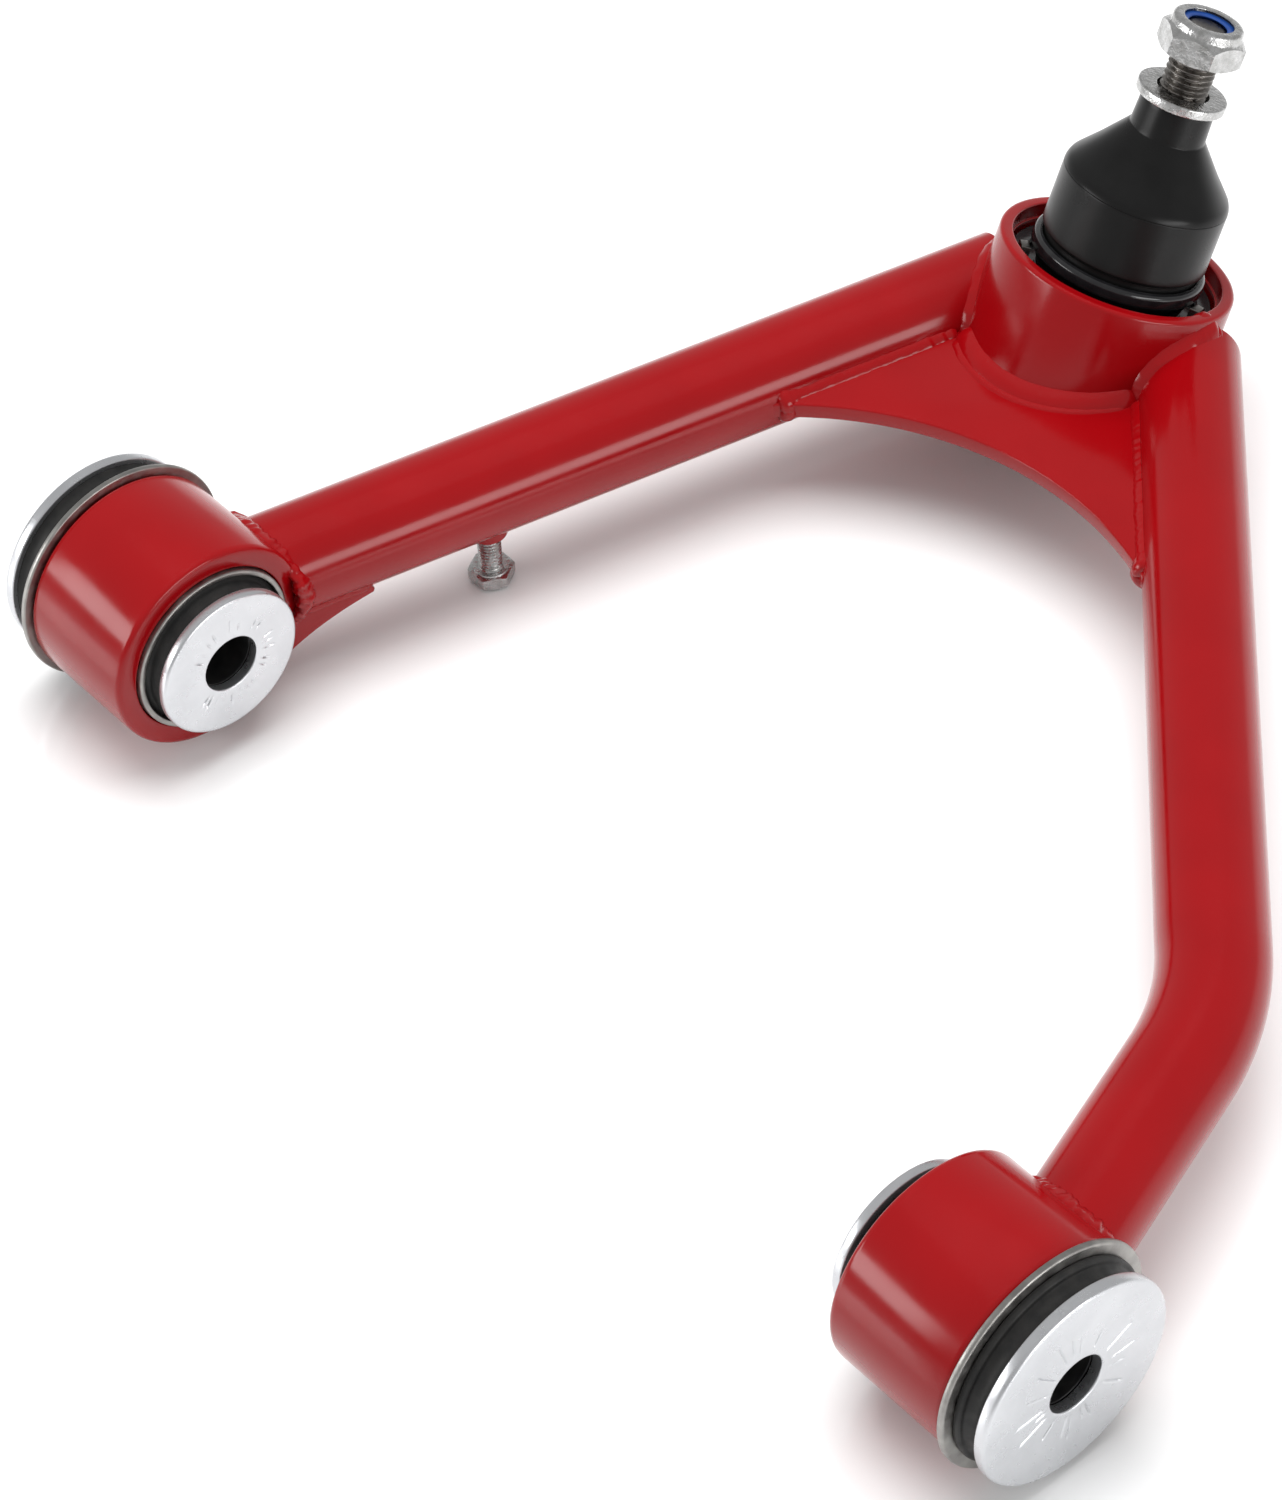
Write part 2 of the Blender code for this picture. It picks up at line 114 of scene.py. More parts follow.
def extent(node, place):
    """Smallest and largest radius of a node about a frame's Z, and its lowest and highest station."""
    back = place.inverted()
    spots = [back @ (v.co / MM) for v in frame["nodes"][node].data.vertices]
    radii = [math.hypot(p.x, p.y) for p in spots]
    heights = [p.z for p in spots]
    return Extent(min(radii), max(radii), min(heights), max(heights))


straight_bushing = axes_frame(middle("straight_leg_eye"), (0, 1, 0), (1, 0, 0))
bent_bushing = axes_frame(middle("bent_leg_eye"), (0, -1, 0), (1, 0, 0))
spin = joint("ball_stud_spin")
ball_frame = axes_frame(Vector(spin["pos_m"]) / MM, spin["axis"], (1, 0, 0))
rim_station = extent("ball_joint_ring", ball_frame).high
ring_frame = ball_frame @ Matrix.Translation((0, 0, rim_station))
ring_size = extent("ball_joint_ring", ring_frame)
eye_size = extent("straight_leg_eye", straight_bushing)

pivot = Vector((straight_bushing.translation.x, 0.0, straight_bushing.translation.z))
straight_start = straight_bushing.translation + Vector((0, STRAIGHT_CROSS, 0))
straight_dir = Matrix.Rotation(math.radians(STRAIGHT_ANGLE), 3, "Z") @ Vector((1, 0, 0))
straight_side = UP.cross(straight_dir)
bent_start = bent_bushing.translation + Vector((0, BENT_CROSS, 0))
bent_corner = pivot + Vector((BEND_X, BEND_Y, 0))
first_dir = (bent_corner - bent_start).normalized()
bent_dir = Matrix.Rotation(math.radians(BENT_ANGLE), 3, "Z") @ Vector((1, 0, 0))
bent_side = UP.cross(bent_dir)


# ---------------------------------------------------------------- finishes
def finish(name, colour, second, blotch, metallic, rough, rough_scale, bumps, coat=(0.0, 0.1),
           specular=0.5, spangle=0.0):
    """A procedural finish: two mottled colours, uneven gloss and one or two scales of relief.

    Scales are cells per metre. bumps holds (scale, height in metres, strength) for each relief.
    """
    mat = bpy.data.materials.new(name)
    mat.use_nodes = True
    nodes, links = mat.node_tree.nodes, mat.node_tree.links
    shader = nodes["Principled BSDF"]
    shader.inputs["Metallic"].default_value = metallic
    shader.inputs["Specular IOR Level"].default_value = specular
    shader.inputs["Coat Weight"].default_value = coat[0]
    shader.inputs["Coat Roughness"].default_value = coat[1]
    spot = nodes.new("ShaderNodeTexCoord").outputs["Object"]

    def cloud(scale, detail=3.0):
        node = nodes.new("ShaderNodeTexNoise")
        node.inputs["Scale"].default_value = scale
        node.inputs["Detail"].default_value = detail
        links.new(spot, node.inputs["Vector"])
        return node.outputs["Fac"]

    def spread(value, low, high):
        node = nodes.new("ShaderNodeMapRange")
        node.inputs["From Min"].default_value = 0.3
        node.inputs["From Max"].default_value = 0.7
        node.inputs["To Min"].default_value = low
        node.inputs["To Max"].default_value = high
        links.new(value, node.inputs["Value"])
        return node.outputs["Result"]

    mix = nodes.new("ShaderNodeMix")
    mix.data_type = "RGBA"
    mix.inputs["A"].default_value = (*colour, 1.0)
    mix.inputs["B"].default_value = (*second, 1.0)
    links.new(spread(cloud(blotch), 0.0, 1.0), mix.inputs["Factor"])
    tone = mix.outputs["Result"]
    if spangle > 0.0:
        cells = nodes.new("ShaderNodeTexVoronoi")
        cells.inputs["Scale"].default_value = spangle
        links.new(spot, cells.inputs["Vector"])
        shade = nodes.new("ShaderNodeMix")
        shade.data_type = "RGBA"
        shade.blend_type = "MULTIPLY"
        shade.inputs["Factor"].default_value = 0.12
        links.new(tone, shade.inputs["A"])
        grey = nodes.new("ShaderNodeRGBToBW")
        links.new(cells.outputs["Color"], grey.inputs["Color"])
        links.new(grey.outputs["Val"], shade.inputs["B"])
        tone = shade.outputs["Result"]
    links.new(tone, shader.inputs["Base Color"])
    links.new(spread(cloud(rough_scale), *rough), shader.inputs["Roughness"])
    normal = None
    for scale, height, strength in bumps:
        bump = nodes.new("ShaderNodeBump")
        bump.inputs["Strength"].default_value = strength
        bump.inputs["Distance"].default_value = height
        links.new(cloud(scale, 2.0), bump.inputs["Height"])
        if normal is not None:
            links.new(normal, bump.inputs["Normal"])
        normal = bump.outputs["Normal"]
    links.new(normal, shader.inputs["Normal"])
    return mat


red_paint = finish("red_powder_coat", (0.268, 0.0014, 0.0032), (0.242, 0.0010, 0.0026), 40.0, 0.0,
                   (0.13, 0.19), 140.0, [(1300.0, 0.00005, 0.04)], specular=0.30)
zinc = finish("bright_zinc", (0.66, 0.66, 0.66), (0.42, 0.42, 0.41), 420.0, 1.0, (0.18, 0.36), 700.0,
              [(2600.0, 0.00015, 0.35), (900.0, 0.0005, 0.35)], spangle=1400.0)
washer_zinc = finish("washer_zinc", (0.63, 0.64, 0.66), (0.58, 0.59, 0.61), 120.0, 0.9, (0.26, 0.34),
                     400.0, [(2400.0, 0.00006, 0.10)])
raw_steel = finish("raw_steel", (0.40, 0.39, 0.37), (0.27, 0.26, 0.25), 260.0, 1.0, (0.34, 0.52), 380.0,
                   [(2200.0, 0.0001, 0.35), (500.0, 0.0002, 0.15)])
dark_steel = finish("dark_oiled_steel", (0.25, 0.235, 0.22), (0.15, 0.14, 0.13), 300.0, 1.0,
                    (0.24, 0.40), 700.0, [(2600.0, 0.00006, 0.25)])
black_steel = finish("black_steel", (0.006, 0.006, 0.007), (0.012, 0.012, 0.013), 300.0, 0.0,
                     (0.12, 0.26), 420.0, [(900.0, 0.0002, 0.20)], coat=(0.4, 0.08), specular=0.3)
# Inner sleeve's steel, coloured nearly black: painted shade deep inside the bore
sleeve_painted_shade = finish("sleeve_steel_painted_shade", (0.012, 0.012, 0.013), (0.022, 0.021, 0.020), 300.0, 0.3,
                    (0.34, 0.5), 420.0, [(1500.0, 0.0001, 0.2)])
rubber = finish("black_rubber", (0.014, 0.014, 0.014), (0.024, 0.023, 0.022), 300.0, 0.0, (0.42, 0.60),
                260.0, [(2000.0, 0.00012, 0.25)], specular=0.25)
boot_rubber = finish("boot_rubber", (0.004, 0.004, 0.004), (0.006, 0.006, 0.006), 120.0, 0.0,
                     (0.26, 0.33), 90.0, [(2600.0, 0.00004, 0.10)], specular=0.22)
blue_nylon = finish("blue_nylon", (0.008, 0.040, 0.19), (0.012, 0.055, 0.24), 400.0, 0.0, (0.26, 0.38),
                    500.0, [(1800.0, 0.0001, 0.15)])
liner_white = finish("liner_white", (0.62, 0.60, 0.55), (0.54, 0.52, 0.47), 200.0, 0.0, (0.35, 0.5),
                     300.0, [(1500.0, 0.0001, 0.15)])


# ---------------------------------------------------------------- mesh building
def make(name, verts, faces, look, body=None, nodes=(), sharp=38.0):
    """A closed mesh, from millimetres, that rides on a body and stands for the CAD nodes given."""
    mesh = bpy.data.meshes.new(name)
    mesh.from_pydata([v * MM for v in verts], [], faces)
    bm = bmesh.new()
    bm.from_mesh(mesh)
    bmesh.ops.remove_doubles(bm, verts=bm.verts, dist=1e-6)
    bmesh.ops.recalc_face_normals(bm, faces=bm.faces)
    bm.to_mesh(mesh)
    bm.free()
    mesh.shade_smooth()
    mesh.set_sharp_from_angle(angle=math.radians(sharp))
    mesh.materials.append(look)
    obj = bpy.data.objects.new(name, mesh)
    bpy.context.scene.collection.objects.link(obj)
    if nodes:
        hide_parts(*nodes)
    if body:
        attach(obj, body)
    return obj


def rounded(corners, steps=4):
    """Closed outline from (radius, height, setback) corners; a setback over 0 rounds its corner."""
    points = []
    for i, (r, z, setback) in enumerate(corners):
        here = Vector((r, z))
        if setback <= 0.0:
            points.append((r, z))
            continue
        before = Vector(corners[i - 1][:2])
        after = Vector(corners[(i + 1) % len(corners)][:2])
        start = here + (before - here).normalized() * setback
        end = here + (after - here).normalized() * setback
        for k in range(steps + 1):
            t = k / steps
            spot = start.lerp(here, t).lerp(here.lerp(end, t), t)
            points.append((spot.x, spot.y))
    return points


def hoop(size, inner_low, outer_low, outer_high, inner_high, shift=0.0):
    """Outline of a plain ring of a node's extent, from the setback of each of its four corners."""
    low, high = size.low + shift, size.high + shift
    return rounded([(size.inner, low, inner_low), (size.outer, low, outer_low),
                    (size.outer, high, outer_high), (size.inner, high, inner_high)])


def divided(outline, step):
    """The same closed outline with no edge longer than step."""
    points = []
    for i, start in enumerate(outline):
        end = outline[(i + 1) % len(outline)]
        parts = max(1, math.ceil(math.dist(start, end) / step))
        for k in range(parts):
            t = k / parts
            points.append((start[0] + (end[0] - start[0]) * t, start[1] + (end[1] - start[1]) * t))
    return points


def turned(name, outline, place, look, body=None, nodes=(), sides=SIDES, sharp=38.0):
    """Turns a closed (radius, height) outline about a frame's Z; a function gives it by angle."""
    verts, faces = [], []
    for k in range(sides):
        angle = math.tau * k / sides
        column = outline(angle) if callable(outline) else outline
        for r, z in column:
            verts.append(place @ Vector((r * math.cos(angle), r * math.sin(angle), z)))
    count = len(column)
    for k in range(sides):
        for i in range(count):
            j = (i + 1) % count
            if column[i][0] == 0.0 and column[j][0] == 0.0:
                continue
            here, there = k * count, (k + 1) % sides * count
            faces.append((here + i, there + i, there + j, here + j))
    return make(name, verts, faces, look, body, nodes, sharp)


def lofted(rings, closed=False):
    """Vertices and faces of a skin through rings of equal count, capped unless closed."""
    count = len(rings[0])
    verts = [v for ring in rings for v in ring]
    faces = []
    for i in range(len(rings) if closed else len(rings) - 1):
        here, there = i * count, (i + 1) % len(rings) * count
        for k in range(count):
            j = (k + 1) % count
            faces.append((here + k, here + j, there + j, there + k))
    if not closed:
        faces.append(tuple(range(count - 1, -1, -1)))
        last = (len(rings) - 1) * count
        faces.append(tuple(range(last, last + count)))
    return verts, faces


def plate(name, outline, low, high, place, look, body, nodes, bevel):
    """A flat plate with rounded edges between two heights of a frame."""
    bm = bmesh.new()
    face = bm.faces.new([bm.verts.new((x, y, low)) for x, y in outline])
    grown = bmesh.ops.extrude_face_region(bm, geom=[face])
    top = [v for v in grown["geom"] if isinstance(v, bmesh.types.BMVert)]
    bmesh.ops.translate(bm, vec=(0, 0, high - low), verts=top)
    rims = [e for e in bm.edges if abs(e.verts[0].co.z - e.verts[1].co.z) < 0.01]
    bmesh.ops.bevel(bm, geom=rims, offset=bevel, segments=3, affect="EDGES", profile=0.5)
    bm.verts.index_update()
    verts = [place @ v.co for v in bm.verts]
    faces = [[v.index for v in f.verts] for f in bm.faces]
    bm.free()
    return make(name, verts, faces, look, body, nodes)


# ---------------------------------------------------------------- tubes
def reach(point, direction, place, radius):
    """How far along direction a point meets the cylinder round a frame's Z, or None."""
    back = place.inverted()
    p = back @ point
    d = back.to_3x3() @ direction
    a = d.x * d.x + d.y * d.y
    b = p.x * d.x + p.y * d.y
    inside = b * b - a * (p.x * p.x + p.y * p.y - radius * radius)
    if inside < 0.0:
        return None
    return (-b - math.sqrt(inside)) / a


def section(along, scale, angle):
    """Offset from a tube's axis to its skin, scaled towards the axis."""
    side = UP.cross(along)
    return (side * math.cos(angle) + UP * math.sin(angle)) * TUBE_R * scale


def coped(point, along, angle, place, radius, limit, scale=1.0):
    """Where a tube's skin line stops: on the cylinder it meets, or at the saw cut that limits it."""
    start = point + section(along, scale, angle)
    hit = reach(start, along, place, radius)
    if hit is None or hit > limit:
        hit = limit
    return start + along * hit


TUBE_SIDES = 96
SINK = 1.0                     # how deep a tube's coped end sits in the wall it meets
CAP_STEPS = 8
NO_CUT = 200.0                 # a limit past any tube's end, for an end that isn't sawn
LEG_START = 34.0               # first section of a leg, from the pivot axis


def end_rings(point, along, place, radius, limit):
    """Rings that close a coped end, from the middle of the tube out to its skin."""
    rings = []
    for step in range(CAP_STEPS + 1):
        scale = max(step / CAP_STEPS, 0.002)
        rings.append([coped(point, along, math.tau * k / TUBE_SIDES, place, radius, limit, scale)
                      for k in range(TUBE_SIDES)])
    return rings


def tube_leg(name, path, eye_place, saw_cut):
    """A leg from its eye to the ring, closed at both ends along the cylinders it meets."""
    toward_eye = (path[0] - path[1]).normalized()
    toward_ring = (path[-1] - path[-2]).normalized()
    eye_end = end_rings(path[1], toward_eye, eye_place, eye_size.outer - SINK, NO_CUT)
    for i, ring in enumerate(eye_end):
        mirrored = [ring[(TUBE_SIDES // 2 - k) % TUBE_SIDES] for k in range(TUBE_SIDES)]
        eye_end[i] = mirrored
    ring_end = end_rings(path[-2], toward_ring, ring_frame, ring_size.outer - SINK, saw_cut)
    rings = eye_end
    for i in range(1, len(path) - 1):
        along = (path[i + 1] - path[i - 1]).normalized()
        rings.append([path[i] + section(along, 1.0, math.tau * k / TUBE_SIDES)
                      for k in range(TUBE_SIDES)])
    rings += list(reversed(ring_end))
    verts, faces = lofted(rings)
    return make(name, verts, faces, red_paint, "arm", [name])


def furthest(node, point, along):
    """The largest distance of a node's points from a point, along a direction."""
    return max((v.co / MM - point).dot(along) for v in frame["nodes"][node].data.vertices)


straight_path = [straight_start + straight_dir * s for s in (0.0, LEG_START, 60.0, 120.0, 180.0, 230.0)]
bend_angle = first_dir.angle(bent_dir)
tangent = BEND_RADIUS * math.tan(bend_angle / 2)
turn_in = bent_corner - first_dir * tangent
bend_centre = turn_in + UP.cross(first_dir) * BEND_RADIUS
BEND_STEPS = 28
bent_path = [bent_start, bent_start + first_dir * LEG_START]
for step in range(BEND_STEPS + 1):
    swing = Matrix.Rotation(bend_angle * step / BEND_STEPS, 3, "Z")
    bent_path.append(bend_centre + swing @ (turn_in - bend_centre))
bent_path += [bent_corner + bent_dir * s for s in (60.0, 110.0, 160.0, 210.0)]

straight_cut = furthest("straight_leg_tube", straight_path[-2], straight_dir)
bent_cut = furthest("bent_leg_tube", bent_path[-2], bent_dir)
tube_leg("straight_leg_tube", straight_path, straight_bushing, straight_cut)
tube_leg("bent_leg_tube", bent_path, bent_bushing, bent_cut)

# ---------------------------------------------------------------- ball joint ring
ring_outline = rounded([
    (ring_size.inner, ring_size.low, 0.6), (ring_size.outer, ring_size.low, 1.2),
    (ring_size.outer, 0.0, 1.1), (MOUTH_R, 0.0, 0.5), (MOUTH_R, MOUTH_STEP, 0.15),
    (STEP_R, MOUTH_STEP, 0.2), (STEP_R, SEAT, 0.3), (ring_size.inner, SEAT, 0.3)])
turned("ball_joint_ring", ring_outline, ring_frame, red_paint, "arm", ["ball_joint_ring"])

# ---------------------------------------------------------------- gusset plate
gusset_low, gusset_high = (corner.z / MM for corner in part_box("gusset_plate"))
arc_centre = pivot + Vector((GUSSET_X, GUSSET_Y, 0))


def arc_angle(point, direction):
    """Angle, about the gusset's arc, of the far crossing of that arc with a line along a leg."""
    rel = point - arc_centre
    b = rel.dot(direction)
    hit = rel + direction * (-b + math.sqrt(b * b - rel.length_squared + GUSSET_R ** 2))
    return math.atan2(hit.y, hit.x)


def ring_spot(angle, radius, height):
    """The point on the ring's side at an angle round its axis and at a world height."""
    rotation = ring_frame.to_3x3()
    spoke = rotation @ Vector((math.cos(angle), math.sin(angle), 0)) * radius
    start = ring_frame.translation + spoke
    return start + rotation.col[2] * ((height - start.z) / rotation.col[2].z)


def ring_angle(point):
    local = ring_frame.inverted() @ point
    return math.atan2(local.y, local.x)


root = TUBE_R - 5.0            # the plate's edges run this far from each leg's axis, inside the tube
from_straight = arc_angle(straight_start - straight_side * root, straight_dir)
to_bent = arc_angle(bent_corner + bent_side * root, bent_dir)
gusset_outline = []
GUSSET_STEPS = 72
for step in range(GUSSET_STEPS + 1):
    angle = from_straight + (to_bent - from_straight) * step / GUSSET_STEPS
    spot = arc_centre + Vector((math.cos(angle), math.sin(angle), 0)) * GUSSET_R
    gusset_outline.append((spot.x, spot.y))
inner_line = math.sqrt(TUBE_R ** 2 - (gusset_high - pivot.z) ** 2)
straight_line = straight_start - straight_side * inner_line
bent_line = bent_corner + bent_side * inner_line
ring_from = ring_angle(bent_line + bent_dir * reach(bent_line, bent_dir, ring_frame, ring_size.outer))
ring_to = ring_angle(straight_line
                     + straight_dir * reach(straight_line, straight_dir, ring_frame, ring_size.outer))
ring_from %= math.tau
ring_to %= math.tau
RING_STEPS = 20
CORNER = 0.2                   # radians of the ring left to the legs at each end of the plate
PLATE_SINK = 2.0               # how deep the plate's edge sits in the ring's wall
for step in range(RING_STEPS + 1):
    angle = ring_from + CORNER + (ring_to - ring_from - 2.0 * CORNER) * step / RING_STEPS
    spot = ring_spot(angle, ring_size.outer - PLATE_SINK, pivot.z)
    gusset_outline.append((spot.x, spot.y))
plate("gusset_plate", gusset_outline, gusset_low, gusset_high, Matrix.Identity(4), red_paint,
      "arm", ["gusset_plate"], 0.55)

# ---------------------------------------------------------------- brace under the straight leg's eye
BRACE_OFFSET = -8.0
BRACE_HALF = 2.0
wall_r = eye_size.outer - 2.4
brace_outline = []
for step in range(7):
    angle = math.radians(-69.0 + 6.0 * step)
    brace_outline.append((wall_r * math.cos(angle), wall_r * math.sin(angle)))
brace_outline += [(26.0, -7.4), (47.0, -7.4), (48.3, -9.4)]
edge_start, edge_mid, edge_end = Vector((48.0, -10.4)), Vector((31.0, -14.0)), Vector((21.0, -22.4))
for step in range(13):
    t = step / 12
    spot = edge_start.lerp(edge_mid, t).lerp(edge_mid.lerp(edge_end, t), t)
    brace_outline.append((spot.x, spot.y))
brace_frame = axes_frame(straight_start + straight_side * BRACE_OFFSET, -straight_side, straight_dir)
plate("straight_leg_eye_brace", brace_outline, -BRACE_HALF, BRACE_HALF, brace_frame, red_paint,
      "arm", ["straight_leg_eye_brace"], 0.5)


# ---------------------------------------------------------------- weld beads
def resampled(points, spacing, closed):
    """Points at an even spacing along a polyline, with the distance of each along it."""
    line = points + [points[0]] if closed else points
    marks = [0.0]
    for a, b in zip(line, line[1:]):
        marks.append(marks[-1] + (b[0] - a[0]).length)
    count = max(4, round(marks[-1] / spacing))
    out, i = [], 0
    for k in range(count if closed else count + 1):
        goal = marks[-1] * k / count
        while i < len(line) - 2 and marks[i + 1] < goal:
            i += 1
        gap = max(marks[i + 1] - marks[i], 1e-9)
        t = (goal - marks[i]) / gap
        spot = line[i][0].lerp(line[i + 1][0], t)
        out.append((spot, line[i][1].lerp(line[i + 1][1], t), goal))
    return out, marks[-1]


def softened(values, closed, passes):
    """The same run of vectors, each averaged with its neighbours several times."""
    for _ in range(passes):
        last = len(values) - 1
        values = [(values[i - 1 if closed else max(i - 1, 0)] + values[i] * 2
                   + values[(i + 1) % len(values) if closed else min(i + 1, last)]) / 4
                  for i in range(len(values))]
    return values


BEAD_SIDES = 20
BEAD_SPACING = 0.45


def bead(name, path, width, height, seed, closed=False, ripple=0.06, pitch=2.6, rough=0.10,
         sink=0.3, lumps=()):
    """A weld bead along (point, outward direction) pairs, rippled, uneven and painted over.

    An outward direction shorter than 1 makes the bead smaller there. lumps holds (place from 0 to
    1, reach in millimetres, growth) for blobs along the bead.
    """
    marks, total = resampled(path, BEAD_SPACING, closed)
    spots = softened([m[0] for m in marks], closed, 6)
    outs = softened([m[1] for m in marks], closed, 14)
    drift = Vector((seed * 7.31, seed * 3.77, seed * 1.93))
    rings = []
    for i, spot in enumerate(spots):
        along_mark = marks[i][2]
        before = spots[i - 1 if closed else max(i - 1, 0)]
        after = spots[(i + 1) % len(spots) if closed else min(i + 1, len(spots) - 1)]
        along = (after - before).normalized()
        across = along.cross(outs[i]).normalized()
        out = across.cross(along)
        size = outs[i].length * (1.0 + 0.9 * rough * noise.noise(spot * 0.16 + drift))
        if not closed:
            near = min(along_mark, total - along_mark) / (width * 0.45)
            size *= math.sqrt(max(1.0 - max(1.0 - near, 0.0) ** 2, 0.0004))
        for place, spread, growth in lumps:
            away = abs(along_mark - place * total) / spread
            if away < 1.0:
                size *= 1.0 + growth * (0.5 + 0.5 * math.cos(math.pi * away))
        ring = []
        for k in range(BEAD_SIDES):
            angle = math.tau * k / BEAD_SIDES
            phase = along_mark / pitch + 0.55 * math.cos(angle) + 0.5 * noise.noise(spot * 0.3 + drift)
            wave = abs(math.sin(math.pi * phase)) ** 0.7 - 0.6
            shape = spot + across * math.sin(angle) * width / 2 + out * math.cos(angle) * height
            grain = noise.noise(shape * 0.42 + drift) * 0.7 + noise.noise(shape * 1.1 + drift) * 0.3
            scale = size * (1.0 + ripple * wave + rough * grain)
            ring.append(spot - out * height * sink
                        + (across * math.sin(angle) * width / 2 + out * math.cos(angle) * height) * scale)
        rings.append(ring)
    verts, faces = lofted(rings, closed)
    return make(name, verts, faces, red_paint, "arm", sharp=70.0)


def spoke_normal(point, place):
    """Direction straight away from a frame's Z axis at a point."""
    local = place.inverted() @ point
    return (place.to_3x3() @ Vector((local.x, local.y, 0.0))).normalized()


FREE_END = 0.12                # size of a bead where it only rounds a tube's free edge
OFF_SIDE = 80.0                # a start beside the ring, from which to look for its side


def cope_weld(point, along, place, radius, limit, steps=240):
    """(point, outward direction) pairs round the end of a tube where it meets a cylinder."""
    pairs = []
    for k in range(steps):
        angle = math.tau * k / steps
        spot = coped(point, along, angle, place, radius, limit)
        skin = section(along, 1.0, angle).normalized()
        met = reach(point + section(along, 1.0, angle), along, place, radius)
        touching = met is not None and met < limit
        wall = spoke_normal(spot, place) if touching else along
        pairs.append((spot, (skin + wall).normalized() * (1.0 if touching else FREE_END)))
    return pairs


straight_eye_weld = cope_weld(straight_path[1], -straight_dir, straight_bushing, eye_size.outer, NO_CUT)
bent_eye_weld = cope_weld(bent_path[1], -first_dir, bent_bushing, eye_size.outer, NO_CUT)
straight_ring_weld = cope_weld(straight_path[-2], straight_dir, ring_frame, ring_size.outer, straight_cut)
bent_ring_weld = cope_weld(bent_path[-2], bent_dir, ring_frame, ring_size.outer, bent_cut)
bead("weld_straight_leg_to_eye", straight_eye_weld, 6.0, 1.9, 1, True, 0.20, 2.0, 0.36)
bead("weld_bent_leg_to_eye", bent_eye_weld, 6.4, 2.0, 2, True, 0.20, 2.1, 0.36)
bead("weld_straight_leg_to_ring", straight_ring_weld, 7.0, 2.1, 3, True, 0.02, 2.8, 0.16)
bead("weld_bent_leg_to_ring", bent_ring_weld, 10.0, 2.5, 4, True, 0.02, 2.8, 0.09)


def crescent_weld(name, path, along, side, cut, seed):
    """The bead that closes the corner between a leg's sawn end and the ring's side."""
    pairs = []
    for step in range(25):
        height = TUBE_R * 0.94 * (step / 12 - 1.0)
        start = path[-2] + along * cut + UP * height - side * OFF_SIDE
        hit = reach(start, side, ring_frame, ring_size.outer)
        if hit is None:
            continue
        spot = start + side * hit
        pairs.append((spot, (along + spoke_normal(spot, ring_frame)).normalized()))
    bead(name, pairs, 6.0, 1.3, seed, False, 0.04, 2.6, 0.2)


crescent_weld("weld_straight_leg_end", straight_path, straight_dir, -straight_side, straight_cut, 5)
crescent_weld("weld_bent_leg_end", bent_path, bent_dir, bent_side, bent_cut, 6)


def plate_weld(name, line, along, side, seed, top):
    """The bead between the gusset plate and a leg, on one face of the plate."""
    height = gusset_high if top else gusset_low
    face = UP if top else -UP
    begin = arc_angle(line, along)
    arc_end = arc_centre + Vector((math.cos(begin), math.sin(begin), 0)) * GUSSET_R
    first = (arc_end - line).dot(along) + 1.0
    last = reach(line, along, ring_frame, ring_size.outer) - 1.0
    skin = (side * inner_line + face * (height - pivot.z) * (1 if top else -1)).normalized()
    pairs = []
    for step in range(41):
        spot = line + along * (first + (last - first) * step / 40)
        pairs.append((Vector((spot.x, spot.y, height)), (skin + face).normalized()))
    bead(name, pairs, 5.0, 1.7, seed, False, 0.06, 2.4, 0.14, lumps=[(0.04, 6.0, 0.4)])


for top, face_name in ((True, "top"), (False, "bottom")):
    offset = 10 if top else 20
    plate_weld("weld_gusset_to_straight_leg_" + face_name, straight_line, straight_dir, -straight_side,
               offset + 1, top)
    plate_weld("weld_gusset_to_bent_leg_" + face_name, bent_line, bent_dir, bent_side, offset + 2, top)
    level = gusset_high if top else gusset_low
    facing = UP if top else -UP
    pairs = []
    for step in range(49):
        angle = ring_from + (ring_to - ring_from) * step / 48
        spot = ring_spot(angle, ring_size.outer, level)
        pairs.append((spot, (facing + spoke_normal(spot, ring_frame)).normalized()))
    bead("weld_gusset_to_ring_" + face_name, pairs, 10.0, 3.2, offset + 3, False, 0.008, 2.8, 0.03)

brace_line = [(straight_start + straight_side * (BRACE_OFFSET - BRACE_HALF) + straight_dir * s
               - UP * math.sqrt(TUBE_R ** 2 - (BRACE_OFFSET - BRACE_HALF) ** 2),
               (-straight_side - UP * 0.3).normalized()) for s in range(27, 48, 2)]
bead("weld_brace_to_leg", brace_line, 2.6, 1.0, 31, False, 0.1, 1.8, 0.2)

# ---------------------------------------------------------------- boss and bolt
bolt_frame = Matrix.Translation(Vector((*middle("line_bracket_bolt").xy, 0.0)))
bolt_size = extent("line_bracket_bolt", bolt_frame)
boss_size = extent("line_bracket_boss", bolt_frame)
boss_outline = hoop(boss_size, 0.25, 0.6, 0.2, 0.2)
turned("line_bracket_boss", boss_outline, bolt_frame, red_paint, "arm",
       ["line_bracket_boss"], 64)


def thread_radius(angle, z, crest, depth, pitch):
    """Radius of a rounded V thread at a point on its cylinder."""
    turn = (z / pitch - angle / math.tau) % 1.0
    return crest - depth * min(1.0, max(0.0, abs(2.0 * turn - 1.0) * 1.35 - 0.2))


def thread_column(angle, low, high, crest, pitch):
    """(radius, height) points up a thread, fading out at both ends."""
    depth = 0.58 * pitch
    rows = math.ceil((high - low) / pitch * 10)
    points = []
    for i in range(rows + 1):
        z = low + (high - low) * i / rows
        fade = min(1.0, (z - low) / pitch, (high - z) / pitch + 0.45)
        points.append((crest - (crest - thread_radius(angle, z, crest, depth, pitch)) * fade, z))
    return points


def hex_radius(angle, across_flats, turn):
    """Distance from a hexagon's centre to its side in a direction."""
    sixth = math.tau / 6
    return across_flats / 2 / math.cos((angle - turn + sixth / 2) % sixth - sixth / 2)


